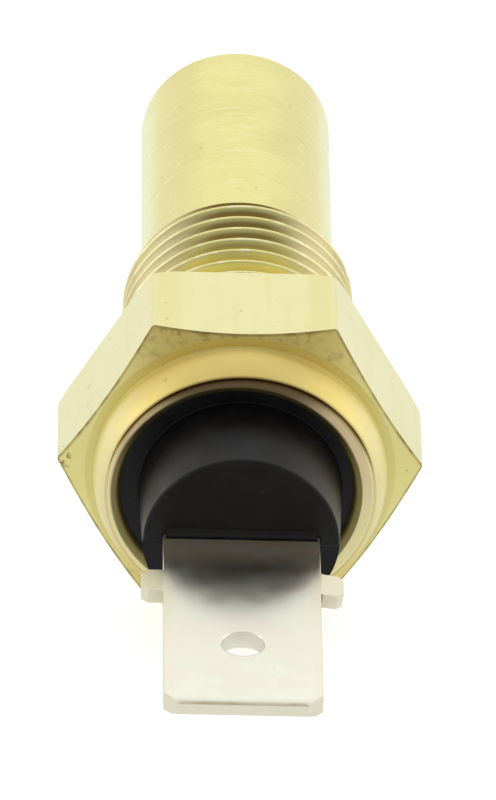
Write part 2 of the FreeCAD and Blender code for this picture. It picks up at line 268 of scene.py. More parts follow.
def turned(name, corners):
    """A solid of revolution from an outline of radius and station that starts and ends on the axis."""
    obj = drawn_line(name, corners)
    pick_all(obj)
    bpy.ops.mesh.spin(steps=TURN_STEPS, angle=2 * math.pi, center=(0, 0, 0), axis=(0, 0, 1))
    bpy.ops.mesh.select_all(action="SELECT")
    bpy.ops.mesh.remove_doubles(threshold=MERGE)
    face_outwards()
    leave_edit()
    return obj


def arc(centre, radius, first, last, steps):
    """Corners along an arc, with its angles in degrees from the outward direction."""
    angles = [math.radians(first + (last - first) * i / steps) for i in range(steps + 1)]
    return [(centre[0] + radius * math.cos(a), centre[1] + radius * math.sin(a)) for a in angles]


def slab(name, low, high):
    """A cube stretched between two corners."""
    deselect_all()
    bpy.ops.mesh.primitive_cube_add(size=1)
    obj = bpy.context.object
    obj.name = name
    low, high = Vector(low), Vector(high)
    obj.scale = high - low
    obj.location = (low + high) / 2
    bpy.ops.object.transform_apply(location=True, rotation=True, scale=True)
    return obj


def rod(name, sides, radius, length, middle, turn):
    """A cylinder or a prism about a middle point, turned by three angles in degrees."""
    deselect_all()
    bpy.ops.mesh.primitive_cylinder_add(vertices=sides, radius=radius, depth=length, location=middle,
                                        rotation=[math.radians(angle) for angle in turn])
    obj = bpy.context.object
    obj.name = name
    bpy.ops.object.transform_apply(location=True, rotation=True, scale=True)
    return obj


print("one step of the lathe: %.1f degrees" % (360 / TURN_STEPS))

# %% [markdown]
# ## Tapered pipe thread
#
# The thread is a fine pipe thread with 55 degree flanks, round crests and roots, on a taper of one
# in sixteen. It could be a bump on a cone, but its crests stand out against the hexagon, so it is
# real. One pitch of the profile is drawn, the Screw modifier winds it up the axis, the taper widens
# each vertex by its height, and a turned blank cuts the chamfer at its start, as a lathe would.

# %% Tapered pipe thread
PITCH = 0.907
THREAD_DEPTH = 0.581
SMALL_END = 4.725
THREAD_START = 4.175
ENTRY_LENGTH = 0.9
TAPER = 1 / 32
ROUNDING = 0.1245
FLANK_TURN = 62.5
FIRST_CREST = 11.839
THREAD_TURNS = 12
WIND_STEPS = 120
ARC_STEPS = 3
SPARE_THREAD = 0.3
INTO_HEX = 0.4


def thread_profile():
    """One pitch, from the middle of a crest to the middle of the next."""
    crest = (SMALL_END - ROUNDING, 0)
    root = (SMALL_END - THREAD_DEPTH + ROUNDING, PITCH / 2)
    next_crest = (crest[0], PITCH)
    leaving = arc(crest, ROUNDING, 0, FLANK_TURN, ARC_STEPS)
    bottom = arc(root, ROUNDING, 180 + FLANK_TURN, 180 - FLANK_TURN, ARC_STEPS + 1)
    arriving = arc(next_crest, ROUNDING, -FLANK_TURN, 0, ARC_STEPS)
    return [(r, z + FIRST_CREST) for r, z in leaving + bottom + arriving]


def make_thread():
    thread = drawn_line("thread", thread_profile())
    finish_with(thread, "SCREW", axis="Z", angle=2 * math.pi, screw_offset=PITCH,
                iterations=THREAD_TURNS, steps=WIND_STEPS, render_steps=WIND_STEPS)
    pick_all(thread)
    bpy.ops.mesh.remove_doubles(threshold=MERGE)
    leave_edit()
    for vertex in thread.data.vertices:
        flat = Vector((vertex.co.x, vertex.co.y, 0))
        wider = (vertex.co.z - Z_THREAD) * TAPER / flat.length
        vertex.co.x *= 1 + wider
        vertex.co.y *= 1 + wider
    pick_all(thread)
    for station, below in ((Z_THREAD - SPARE_THREAD, True), (Z_HEX + INTO_HEX, False)):
        cut_across((0, 0, station), (0, 0, 1), use_fill=True, clear_inner=below, clear_outer=not below)
    face_outwards()
    leave_edit()
    entry_slope = (SMALL_END + ENTRY_LENGTH * TAPER - THREAD_START) / ENTRY_LENGTH
    past_entry = 2 * ENTRY_LENGTH
    wide = THREAD_START + past_entry * entry_slope
    blank = turned("thread_blank", [
        (0, Z_THREAD),
        (THREAD_START, Z_THREAD),
        (wide, Z_THREAD + past_entry),
        (wide, Z_HEX + CLEAR),
        (0, Z_HEX + CLEAR),
    ])
    combine(thread, blank, "INTERSECT")
    return thread


thread = make_thread()
describe(thread)

# %% [markdown]
# ## Probe and collar
#
# Both are turned in one go with the rest of the brass body. The collar's rim is then rolled inwards
# over the insulator, which leaves a round shoulder, a crease where the metal folded, and a lip. An
# outline drawn and spun about the axis is the same work as the lathe's. The real rim was
# rolled a little off centre and its crease closes up lower down, so the lip's vertices are moved.

# %% Probe and collar
PROBE_EDGE = 0.25
COLLAR_RADIUS = 5.975
COLLAR_STRAIGHT = 0.25
CREASE_RADIUS = 5.5
CREASE_WIDTH = 0.14
CREASE_DEPTH = 0.12
LIP_MOUTH = 5.07
LIP_INNER = 4.72
LIP_THICKNESS = 0.42
LIP_LAND = 0.07
LIP_EDGE = 0.02
LIP_SHIFT = 0.155
CREASE_OPEN_FROM = 2.6
CREASE_CLOSED_FROM = 0.6
CREASE_FILLED = 0.6
RECESS_RADIUS = 5.35
RECESS_DEPTH = 1.4
BORE_RADIUS = 2.9
BORE_CHAMFER = 0.3
TIP_WALL = 1.5
SOLID_ABOVE_SEAT = 0.5
Z_FACE = Z_RIM - LIP_THICKNESS
Z_SEAT = Z_FRONT - RECESS_DEPTH


def make_turned_bar():
    roll_start = (COLLAR_RADIUS, Z_FRONT + COLLAR_STRAIGHT)
    roll_end = (CREASE_RADIUS, Z_RIM - CREASE_DEPTH / 2)
    inward = roll_start[0] - roll_end[0]
    rise = roll_end[1] - roll_start[1]
    radius = (inward ** 2 + rise ** 2) / (2 * inward)
    swing = math.degrees(math.asin(rise / radius))
    edge = (PROBE_RADIUS - PROBE_EDGE, PROBE_EDGE)
    outline = [(0, 0)] + arc(edge, PROBE_EDGE, -90, 0, 5)
    outline += [(PROBE_RADIUS, Z_HEX + INTO_HEX / 2), (COLLAR_RADIUS, Z_HEX + INTO_HEX / 2)]
    outline += arc((roll_start[0] - radius, roll_start[1]), radius, 0, swing, 10)
    outline += [
        (CREASE_RADIUS - CREASE_WIDTH / 2, Z_RIM - CREASE_DEPTH),
        (CREASE_RADIUS - CREASE_WIDTH, Z_RIM - LIP_EDGE),
        (CREASE_RADIUS - CREASE_WIDTH - 1.5 * LIP_EDGE, Z_RIM),
        (LIP_MOUTH + 2 * LIP_EDGE, Z_RIM),
        (LIP_MOUTH, Z_RIM - LIP_EDGE),
        (LIP_INNER, Z_FACE + LIP_LAND),
        (LIP_INNER, Z_SEAT + SOLID_ABOVE_SEAT),
        (0, Z_SEAT + SOLID_ABOVE_SEAT),
    ]
    return turned("turned_bar", outline)


def settle_lip(bar):
    """Shift the mouth of the lip to one side and close the crease round its lower half."""
    for vertex in bar.data.vertices:
        radius = math.hypot(vertex.co.x, vertex.co.y)
        if vertex.co.z < Z_FACE - LIP_THICKNESS or radius > CREASE_RADIUS:
            continue
        if radius < LIP_MOUTH + 3 * LIP_EDGE:
            vertex.co.x -= LIP_SHIFT
        elif abs(radius - CREASE_RADIUS + CREASE_WIDTH / 2) < MERGE:
            closed = (CREASE_OPEN_FROM - vertex.co.y) / (CREASE_OPEN_FROM - CREASE_CLOSED_FROM)
            vertex.co.z += CREASE_DEPTH * CREASE_FILLED * min(max(closed, 0), 1)


turned_bar = make_turned_bar()
settle_lip(turned_bar)
describe(turned_bar)

# %% [markdown]
# ## Hexagon
#
# The body is cut from hexagon bar, and a 30 degree chamfer on the lathe leaves the bowed edges that
# every nut shows. A six-sided cylinder gets its long edges rounded as drawn bar has them, and what
# it shares with a chamfered blank is the real form. A narrow bevel then softens the sharp edges,
# because a perfectly sharp edge never catches the light.

# %% Hexagon
CORNER_ROUND = 0.12
CHAMFER_RADIUS = 6.305
CHAMFER_ANGLE = math.radians(30)
BACK_CHAMFER_RADIUS = 7.1
EDGE_SOFTENING = 0.035
SHARP_EDGE = math.radians(20)


def make_hexagon():
    middle = (0, 0, Z_HEX + HEX_HEIGHT / 2)
    hexagon = rod("hexagon", 6, HEX_FLATS / math.sqrt(3), HEX_HEIGHT, middle, (0, 0, 30))
    pick(hexagon, "EDGE", lambda e: abs(e.verts[0].co.z - e.verts[1].co.z) > HEX_HEIGHT / 2)
    bpy.ops.mesh.bevel(offset=CORNER_ROUND, segments=3, affect="EDGES")
    leave_edit()
    slope = math.tan(CHAMFER_ANGLE)
    widest = (CHAMFER_RADIUS + BACK_CHAMFER_RADIUS + HEX_HEIGHT / slope) / 2
    blank = turned("hexagon_blank", [
        (0, Z_HEX),
        (BACK_CHAMFER_RADIUS, Z_HEX),
        (widest, Z_HEX + (widest - BACK_CHAMFER_RADIUS) * slope),
        (CHAMFER_RADIUS, Z_FRONT),
        (0, Z_FRONT),
    ])
    combine(hexagon, blank, "INTERSECT")
    pick(hexagon, "EDGE", lambda e: e.is_manifold and e.calc_face_angle() > SHARP_EDGE)
    bpy.ops.mesh.bevel(offset=EDGE_SOFTENING, segments=2, affect="EDGES", clamp_overlap=True)
    leave_edit()
    return hexagon


hexagon = make_hexagon()
describe(hexagon)

# %% [markdown]
# ## One brass body
#
# On the real sensor the probe, the thread, the hexagon and the collar are one piece of brass, so the
# three solids are joined into one mesh. The bore for the sensing stack and the seat for the sealing
# ring are cut last, as they are on the lathe.

# %% One brass body
INSIDE_LIP = 0.6


def make_brass_body():
    body = turned_bar
    combine(body, thread, "UNION")
    combine(body, hexagon, "UNION")
    bore = turned("bore", [
        (0, TIP_WALL),
        (BORE_RADIUS, TIP_WALL),
        (BORE_RADIUS, Z_SEAT - BORE_CHAMFER),
        (BORE_RADIUS + BORE_CHAMFER, Z_SEAT),
        (RECESS_RADIUS, Z_SEAT),
        (RECESS_RADIUS, Z_FACE),
        (LIP_INNER - INSIDE_LIP, Z_FACE),
        (LIP_INNER - INSIDE_LIP, Z_RIM + CLEAR),
        (0, Z_RIM + CLEAR),
    ])
    combine(body, bore, "DIFFERENCE")
    body.name = "turned_brass_body"
    smooth(body, sharpest=31)
    return body


brass_body = make_brass_body()
describe(brass_body)

# %% [markdown]
# ## Black insulator
#
# The insulator is moulded in one piece: a spigot and hub inside the body, a flange under the rolled
# rim, and a round boss outside whose lower half stops a little short. It is turned as one outline,
# then the lower half and the slot for the blade are cut away, and the edges of the cut are rounded
# as a mould leaves them. A thin flash of plastic creeps out along the top of the blade, hollow like
# a fillet.

# %% Black insulator
RING_HEIGHT = 1.2
FLANGE_RADIUS = 5.3
HUB_RADIUS = 3.9
SPIGOT_RADIUS = 2.8
SPIGOT_LENGTH = 3.2
BOSS_BASE = 4.12
BOSS_TOP = 3.97
BOSS_HEIGHT = 4.15
BOSS_STEP = 0.4
BOSS_ROOT = 0.04
BOSS_EDGE = 0.15
MOULD_ROUND = 0.07
SQUARE_EDGE = math.radians(60)
FLASH_REACH = 0.32
FLASH_THIN = 0.01
FLASH_INSET = 0.1
FLASH_ROOT = 0.2
MOULDING_GAP = 0.02
SLOT_OVERLAP = 0.1
BLADE_HALF = 3.15
BLADE_THICKNESS = 0.8
BLADE_EMBEDDED = 2.6
TAIL_HALF = 1.5
TAIL_PROTRUSION = 0.4
Z_FLANGE = Z_SEAT + RING_HEIGHT
Z_BOSS = Z_FACE + BOSS_HEIGHT
Z_SPIGOT = Z_SEAT - SPIGOT_LENGTH
HALF_GAP = BLADE_THICKNESS / 2 + MOULDING_GAP


def make_moulding():
    insulator = turned("moulded_insulator", [
        (0, Z_SPIGOT), (SPIGOT_RADIUS, Z_SPIGOT), (SPIGOT_RADIUS, Z_SEAT),
        (HUB_RADIUS, Z_SEAT), (HUB_RADIUS, Z_FLANGE),
        (FLANGE_RADIUS, Z_FLANGE), (FLANGE_RADIUS, Z_FACE),
    ] + arc((BOSS_BASE + BOSS_ROOT, Z_FACE + BOSS_ROOT), BOSS_ROOT, 270, 180, 6)
      + arc((BOSS_TOP - BOSS_EDGE, Z_BOSS - BOSS_EDGE), BOSS_EDGE, 0, 90, 5)
      + [(0, Z_BOSS)])
    beyond = 2 * BOSS_BASE
    lower_half = slab("lower_half", (-beyond, -beyond, Z_BOSS - BOSS_STEP), (beyond, 0, Z_BOSS + CLEAR))
    combine(insulator, lower_half, "DIFFERENCE")
    shoulder = Z_BOSS - BLADE_EMBEDDED - MOULDING_GAP
    blade_slot = slab("blade_slot", (-BLADE_HALF - MOULDING_GAP, -HALF_GAP, shoulder),
                      (BLADE_HALF + MOULDING_GAP, HALF_GAP, Z_BOSS + CLEAR))
    tail_slot = slab("tail_slot", (-TAIL_HALF - MOULDING_GAP, -HALF_GAP, Z_SPIGOT - CLEAR),
                     (TAIL_HALF + MOULDING_GAP, HALF_GAP, shoulder + SLOT_OVERLAP))
    combine(insulator, blade_slot, "DIFFERENCE")
    combine(insulator, tail_slot, "DIFFERENCE")
    pick(insulator, "EDGE", lambda e: (
        all(abs(v.co.z - Z_BOSS) < MERGE and -MERGE < v.co.y < HALF_GAP + MERGE for v in e.verts)
        and e.is_manifold and e.calc_face_angle() > SQUARE_EDGE))
    bpy.ops.mesh.bevel(offset=MOULD_ROUND, segments=3, affect="EDGES")
    leave_edit()
    return insulator


def add_flash(insulator):
    """A block along the blade's root, hollowed by a rod that leaves its edges thin."""
    flash = slab("flash", (-BLADE_HALF + FLASH_INSET, HALF_GAP, Z_BOSS - FLASH_ROOT),
                 (BLADE_HALF - FLASH_INSET, HALF_GAP + FLASH_REACH, Z_BOSS + FLASH_REACH))
    out = FLASH_REACH + FLASH_THIN
    hollow = rod("hollow", 48, FLASH_REACH, 4 * BLADE_HALF, (0, HALF_GAP + out, Z_BOSS + out), (0, 90, 0))
    combine(flash, hollow, "DIFFERENCE")
    combine(insulator, flash, "UNION")


insulator = make_moulding()
add_flash(insulator)
smooth(insulator, sharpest=28)
describe(insulator)

# %% [markdown]
# ## Tinned blade
#
# The blade is stamped from tinned brass strip. The press shears the outline with its two ears and
# the hole, and coins a lead-in on the end. So the outline is drawn flat, filled and given its
# thickness, the end is narrowed, the hole is cut and its rim is bevelled. The ears are a little
# thinner than the blade, one of them was bent down when the blade was fitted, and a fine bevel
# stands for the press's rolled edge.

# %% Tinned blade
BLADE_REACH = 12.085
CORNER_CUT = 0.55
LEAD_IN_LENGTH = 0.28
LEAD_IN_DEPTH = 0.16
EAR_OFFSET = 2.6
EAR_LENGTH = 1.5
EAR_HALF_SPAN = 4.025
EAR_CORNER = 0.25
EAR_THICKNESS = 0.64
EAR_STEP = 0.03
EAR_BEND = math.radians(-8)
EAR_DRIFT = 0.08
HOLE_RADIUS = 0.85
HOLE_FROM_END = 4.2
HOLE_RIM = 0.08
PRESS_ROUND = 0.045
ROLLED_EDGE = math.radians(35)
Z_END = Z_BOSS + BLADE_REACH
Z_EAR_LOW = Z_BOSS + EAR_OFFSET
Z_EAR_HIGH = Z_EAR_LOW + EAR_LENGTH


def stamp_strip():
    right_side = [
        (TAIL_HALF, Z_SPIGOT - TAIL_PROTRUSION),
        (TAIL_HALF, Z_BOSS - BLADE_EMBEDDED),
        (BLADE_HALF, Z_BOSS - BLADE_EMBEDDED),
        (BLADE_HALF, Z_EAR_LOW),
        (EAR_HALF_SPAN - EAR_CORNER, Z_EAR_LOW),
        (EAR_HALF_SPAN, Z_EAR_LOW + EAR_CORNER),
        (EAR_HALF_SPAN, Z_EAR_HIGH - EAR_CORNER),
        (EAR_HALF_SPAN - EAR_CORNER, Z_EAR_HIGH),
        (BLADE_HALF, Z_EAR_HIGH),
        (BLADE_HALF, Z_END - CORNER_CUT),
        (BLADE_HALF - CORNER_CUT, Z_END),
    ]
    left_side = [(-x, z) for x, z in reversed(right_side)]
    blade = drawn_line("stamped_blade", right_side + left_side)
    pick_all(blade)
    bpy.ops.mesh.edge_face_add()
    bpy.ops.transform.translate(value=(0, -BLADE_THICKNESS / 2, 0))
    bpy.ops.mesh.extrude_region_move(TRANSFORM_OT_translate={"value": (0, BLADE_THICKNESS, 0)})
    for station in (Z_END - CORNER_CUT, Z_EAR_HIGH, Z_EAR_LOW):
        cut_across((0, 0, station), (0, 0, 1))
    ear_root = BLADE_HALF + EAR_STEP
    for side in (-ear_root, -BLADE_HALF, BLADE_HALF, ear_root):
        cut_across((side, 0, 0), (1, 0, 0))
    face_outwards()
    cut_across((0, 0, Z_END - LEAD_IN_LENGTH), (0, 0, 1))
    leave_edit()
    return blade


def coin_lead_in(blade):
    pick(blade, "VERT", lambda v: v.co.z > Z_END - MERGE)
    bpy.ops.transform.resize(value=(1, 1 - 2 * LEAD_IN_DEPTH / BLADE_THICKNESS, 1),
                             center_override=(0, 0, Z_END))
    leave_edit()


def punch_hole(blade):
    centre = Vector((0, 0, Z_END - HOLE_FROM_END))
    punch = rod("punch", 64, HOLE_RADIUS, BLADE_THICKNESS + 2 * CLEAR, centre, (90, 0, 0))
    combine(blade, punch, "DIFFERENCE")
    pick(blade, "EDGE", lambda e: all(
        abs((Vector((v.co.x, 0, v.co.z)) - centre).length - HOLE_RADIUS) < MERGE for v in e.verts)
        and abs(e.verts[0].co.y - e.verts[1].co.y) < MERGE)
    bpy.ops.mesh.bevel(offset=HOLE_RIM, segments=3, affect="EDGES")
    leave_edit()


def set_ears(blade):
    """Thin both ears from below, and move and bend the right one as it was when fitted."""
    pick(blade, "VERT", lambda v: abs(v.co.x) > BLADE_HALF + MERGE and v.co.y < 0)
    bpy.ops.transform.translate(value=(0, BLADE_THICKNESS - EAR_THICKNESS, 0))
    leave_edit()
    pick(blade, "VERT", lambda v: v.co.x > BLADE_HALF + MERGE)
    bpy.ops.transform.translate(value=(0, 0, EAR_DRIFT))
    leave_edit()
    for vertex in blade.data.vertices:
        out = vertex.co.x - BLADE_HALF
        if out > MERGE:
            y = vertex.co.y
            vertex.co.x = BLADE_HALF + out * math.cos(EAR_BEND) - y * math.sin(EAR_BEND)
            vertex.co.y = out * math.sin(EAR_BEND) + y * math.cos(EAR_BEND)


blade = stamp_strip()
coin_lead_in(blade)
punch_hole(blade)
set_ears(blade)
finish_with(blade, "BEVEL", width=PRESS_ROUND, segments=2, limit_method="ANGLE",
            angle_limit=ROLLED_EDGE, use_clamp_overlap=True)
smooth(blade, sharpest=28)
describe(blade)

# %% [markdown]
# ## Materials: helpers
#
# Every finish is a small tree of nodes that reads the object's own coordinates, so it stays on the
# piece from any side. The helpers add a node, link or set its inputs and return it. Two of them do
# what a painter does: lay one mask over another, and lay a colour on where a mask allows.

# %% Material helpers
def feed(socket, value):
    """Link an input to a socket, or give it a plain value."""
    if isinstance(value, bpy.types.NodeSocket):
        socket.id_data.links.new(value, socket)
    else:
        socket.default_value = value


def add(tree, kind, inputs=None, **settings):
    """Add a node, apply its settings, and link or set its inputs by name or number."""
    made = tree.nodes.new("ShaderNode" + kind)
    for name, value in settings.items():
        setattr(made, name, value)
    for name, value in (inputs or {}).items():
        feed(made.inputs[name], value)
    return made


def tree_of(*values):
    """The tree that the first socket among these values belongs to."""
    return next(value for value in values if isinstance(value, bpy.types.NodeSocket)).id_data


def calc(operation, first, second=0.0, third=0.0):
    tree = tree_of(first, second, third)
    return add(tree, "Math", {0: first, 1: second, 2: third}, operation=operation).outputs[0]


def between(value, low, high, out_low=0.0, out_high=1.0):
    """A smooth step of a value from low to high, or down from 1 to 0 where low is the larger."""
    limits = {"From Min": low, "From Max": high, "To Min": out_low, "To Max": out_high}
    made = add(tree_of(value), "MapRange", {"Value": value, **limits}, interpolation_type="SMOOTHSTEP")
    return made.outputs["Result"]


def mix(factor, first, second):
    """Blend two colours, each given as a socket or as red, green and blue."""
    made = add(tree_of(factor), "Mix", {0: factor}, data_type="RGBA")
    for number, colour in ((6, first), (7, second)):
        feed(made.inputs[number], (*colour, 1) if isinstance(colour, tuple) else colour)
    return made.outputs[2]


def overlap(mask, *others):
    """Where all the masks are, each as strong as its value."""
    for other in others:
        mask = calc("MULTIPLY", mask, other)
    return mask


def paint(below, mask, colour, share=1.0):
    """Lay a colour over what is below it, where the mask is and as thickly as the share says."""
    return mix(mask if share == 1.0 else overlap(mask, share), below, colour)


def zone(place, **spans):
    """A mask that rises over a span's first two numbers and, where it has four, falls over the others."""
    rising = [between(place[name], *span[:2]) for name, span in spans.items()]
    falling = [between(place[name], *span[:1:-1]) for name, span in spans.items() if len(span) == 4]
    return overlap(*rising, *falling)


def stretched_noise(local, stretch, detail):
    tree = tree_of(local)
    laid = add(tree, "Mapping", {"Vector": local, "Scale": stretch}).outputs[0]
    return add(tree, "TexNoise", {"Vector": laid, "Scale": 1.0, "Detail": detail}).outputs[0]


def new_group(name, inputs, outputs):
    """A node group. Each input has its default, or None for a vector, and each output its kind."""
    group = bpy.data.node_groups.new(name, "ShaderNodeTree")
    for label, value in inputs.items():
        kind = "NodeSocketVector" if value is None else "NodeSocketFloat"
        socket = group.interface.new_socket(label, in_out="INPUT", socket_type=kind)
        if value is not None:
            socket.default_value = value
    for label, kind in outputs.items():
        group.interface.new_socket(label, in_out="OUTPUT", socket_type="NodeSocket" + kind)
    enter = group.nodes.new("NodeGroupInput").outputs
    leave = group.nodes.new("NodeGroupOutput").inputs
    return group, enter, leave


def use(group, **inputs):
    """Place a group. An underscore in an input's name stands for a space."""
    made = tree_of(*inputs.values()).nodes.new("ShaderNodeGroup")
    made.node_tree = group
    for name, value in inputs.items():
        feed(made.inputs[name.replace("_", " ")], value)
    return made.outputs


def new_material(name):
    material = bpy.data.materials.new(name)
    material.use_nodes = True
    tree = material.node_tree
    return material, tree, tree.nodes["Principled BSDF"]


def dress(shader, colour, rough, height, strength, depth):
    """Give the shader its colour, its roughness and a bump whose depth is in millimetres."""
    feed(shader.inputs["Base Color"], colour)
    feed(shader.inputs["Roughness"], rough)
    bump = add(shader.id_data, "Bump", {"Strength": strength, "Distance": depth * MM, "Height": height})
    feed(shader.inputs["Normal"], bump.outputs[0])


print("plain materials from the CAD frame:", len(bpy.data.materials))

# %% [markdown]
# ## Place on the lathe
#
# A turned part has marks that run round its axis, so the first group works out where a point is on
# the lathe: its distance from the axis, its station along it, how far its surface faces along it,
# how far up and to the side it lies, and how far inside the hexagon's flats.

# %% Place on the lathe
TO_LATHE = LAID_DOWN.inverted()
FLAT_TURNS = (30, 150)


def make_lathe_group():
    group, enter, leave = new_group("place_on_lathe", {"Point": None, "Facing": None}, {
        "Local": "Vector", "Radius": "Float", "Station": "Float", "Along": "Float",
        "Upward": "Float", "Sideways": "Float", "Inset": "Float"})
    local = add(group, "Mapping", {
        "Vector": enter["Point"],
        "Location": TO_LATHE.translation,
        "Rotation": TO_LATHE.to_euler(),
        "Scale": (1 / MM, 1 / MM, 1 / MM),
    }).outputs[0]
    split = add(group, "SeparateXYZ", {0: local}).outputs
    flat = add(group, "CombineXYZ", {0: split[0], 1: split[1]}).outputs[0]
    radius = add(group, "VectorMath", {0: flat}, operation="LENGTH").outputs["Value"]
    along = add(group, "VectorMath", {0: enter["Facing"], 1: axis_z}, operation="DOT_PRODUCT")
    reach = calc("ABSOLUTE", split[1])
    for turn in FLAT_TURNS:
        normal = Vector((math.cos(math.radians(turn)), math.sin(math.radians(turn)), 0))
        toward = add(group, "VectorMath", {0: local, 1: normal}, operation="DOT_PRODUCT").outputs["Value"]
        reach = calc("MAXIMUM", reach, calc("ABSOLUTE", toward))
    given = {"Local": local, "Radius": radius, "Station": split[2], "Along": along.outputs["Value"],
             "Upward": split[1], "Sideways": calc("ABSOLUTE", split[0]),
             "Inset": calc("SUBTRACT", HEX_FLATS / 2, reach)}
    for name, value in given.items():
        feed(leave[name], value)
    return group


LATHE = make_lathe_group()
print("the lathe group gives:", [s.name for s in LATHE.interface.items_tree if s.in_out == "OUTPUT"])

# %% [markdown]
# ## Marks shared by the finishes
#
# Other groups give fine lines round the axis, stray scratches from handling, small specks, and soft
# blotches of tarnish. Each is built once, and each material places it with its own sizes.

# %% Marks shared by the finishes
ROUND_CHANGE = 0.12
SCRATCH_LAYS = ((0.5, 9.0), (1.9, 7.0), (2.7, 11.0))
SCRATCH_ALONG = 0.45
SCRATCH_WIDTH = 0.012


def make_turning_group():
    """Fine lines round the axis: noise that changes fast with Across and slowly round the turn."""
    group, enter, leave = new_group(
        "turning_marks", {"Local": None, "Across": 0.0, "Lines per mm": 10.0}, {"Height": "Float"})
    split = add(group, "SeparateXYZ", {0: enter["Local"]}).outputs
    place = add(group, "CombineXYZ", {
        0: overlap(enter["Across"], enter["Lines per mm"]),
        1: overlap(split[0], ROUND_CHANGE),
        2: overlap(split[1], ROUND_CHANGE),
    }).outputs[0]
    noise = add(group, "TexNoise", {"Vector": place, "Scale": 1.0, "Detail": 1.0, "Roughness": 0.5})
    feed(leave["Height"], noise.outputs[0])
    return group


def make_scratch_group():
    """Stray scratches: thin level lines of a stretched noise, broken up by a second one."""
    group, enter, leave = new_group(
        "handling_scratches", {"Local": None, "Scale": 1.0, "Amount": 0.5}, {"Mask": "Float"})
    scratches = 0.0
    for turn, stretch in SCRATCH_LAYS:
        laid = add(group, "Mapping", {"Vector": enter["Local"], "Rotation": (turn, turn * 0.7, turn),
                                      "Scale": (stretch, SCRATCH_ALONG, stretch)}).outputs[0]
        noise = add(group, "TexNoise", {"Vector": laid, "Scale": enter["Scale"], "Detail": 1.0})
        off = calc("ABSOLUTE", calc("SUBTRACT", noise.outputs[0], 0.5))
        scratches = calc("MAXIMUM", between(off, SCRATCH_WIDTH, 0.0), scratches)
    patch = add(group, "TexNoise", {"Vector": enter["Local"], "Scale": 0.9, "Detail": 2.0}).outputs[0]
    raised = calc("ADD", patch, overlap(enter["Amount"], 0.3))
    feed(leave["Mask"], overlap(scratches, between(raised, 0.55, 0.75)))
    return group


def make_speck_group():
    """Small specks and pits of uneven size."""
    group, enter, leave = new_group(
        "specks", {"Local": None, "Per mm": 2.0, "Size": 0.15}, {"Mask": "Float"})
    cells = add(group, "TexVoronoi", {"Vector": enter["Local"], "Scale": enter["Per mm"]})
    uneven = add(group, "SeparateXYZ", {0: cells.outputs["Color"]}).outputs[0]
    size = overlap(enter["Size"], calc("POWER", uneven, 3.0))
    feed(leave["Mask"], calc("LESS_THAN", cells.outputs["Distance"], size))
    return group


def make_blotch_group():
    """Soft blotches from 0 to 1, with a chosen size and share."""
    group, enter, leave = new_group(
        "blotches", {"Local": None, "Per mm": 0.5, "Share": 0.5}, {"Mask": "Float"})
    noise = add(group, "TexNoise", {"Vector": enter["Local"], "Scale": enter["Per mm"],
                                    "Detail": 2.5, "Roughness": 0.5}).outputs[0]
    raised = calc("ADD", noise, calc("SUBTRACT", enter["Share"], 0.5))
    feed(leave["Mask"], between(raised, 0.35, 0.65))
    return group


TURNING = make_turning_group()
SCRATCHES = make_scratch_group()
SPECKS = make_speck_group()
BLOTCHES = make_blotch_group()
print("groups:", [g.name for g in bpy.data.node_groups])

# %% [markdown]
# ## Brass of the probe
#
# Bare brass is bright where it was turned. Each side of the probe gets a band of painted shade, with a
# painted greenish sheen at the rim outside it, and handling left pale and dark marks that run round it.
# A span of two numbers is where a mask starts and where it is full, in millimetres, and two more say
# where it ends, so nothing has to be painted by hand.

# %% Brass of the probe
PROBE_BRASS = (0.80, 0.74, 0.31)
PAINTED_SIDE_SHADE = (0.74, 0.64, 0.28)
PAINTED_RIM_SHEEN = (0.80, 0.86, 0.48)
PALE_MARK = (0.94, 0.89, 0.50)
DARK_MARK = (0.60, 0.52, 0.20)
SIDE_SHADE_SPAN = (1.4, 2.8, 3.0, 3.8)
RIM_SHEEN_SPAN = (3.2, 3.9)
ROUND_MARKS = (0.9, 0.9, 6.0)


def lighter(colour):
    return tuple(min(c * 1.07 + 0.01, 1) for c in colour)


def on_lathe(tree):
    coords = add(tree, "TexCoord")
    return use(LATHE, Point=coords.outputs["Object"], Facing=coords.outputs["Normal"])


def probe_brass(place, blotch):
    colour = mix(blotch, PROBE_BRASS, lighter(PROBE_BRASS))
    # Painted shade in a band along each side, and a painted greenish sheen at the rim, for how the light
    # falls on the round probe.
    colour = paint(colour, zone(place, Sideways=SIDE_SHADE_SPAN), PAINTED_SIDE_SHADE, share=0.45)
    colour = paint(colour, zone(place, Sideways=RIM_SHEEN_SPAN), PAINTED_RIM_SHEEN, share=0.8)
    mark = stretched_noise(place["Local"], ROUND_MARKS, 2.0)
    colour = paint(colour, between(mark, 0.58, 0.72), PALE_MARK, share=0.45)
    return paint(colour, between(mark, 0.42, 0.28), DARK_MARK, share=0.22)


print("the probe's side is at %.2f mm, its band starts at %.1f mm" % (PROBE_RADIUS, SIDE_SHADE_SPAN[0]))

# %% [markdown]
# ## Brass of the hexagon
#
# The flats of the bar are as they were drawn, with faint streaks along it; the side flats get a
# duller, greener copy of the brass as a painted sheen. The front was faced and chamfered: it is mottled
# and darker, with painted highlights towards its left and right, a brown burr along its edge and a dark
# nick in its left corner.

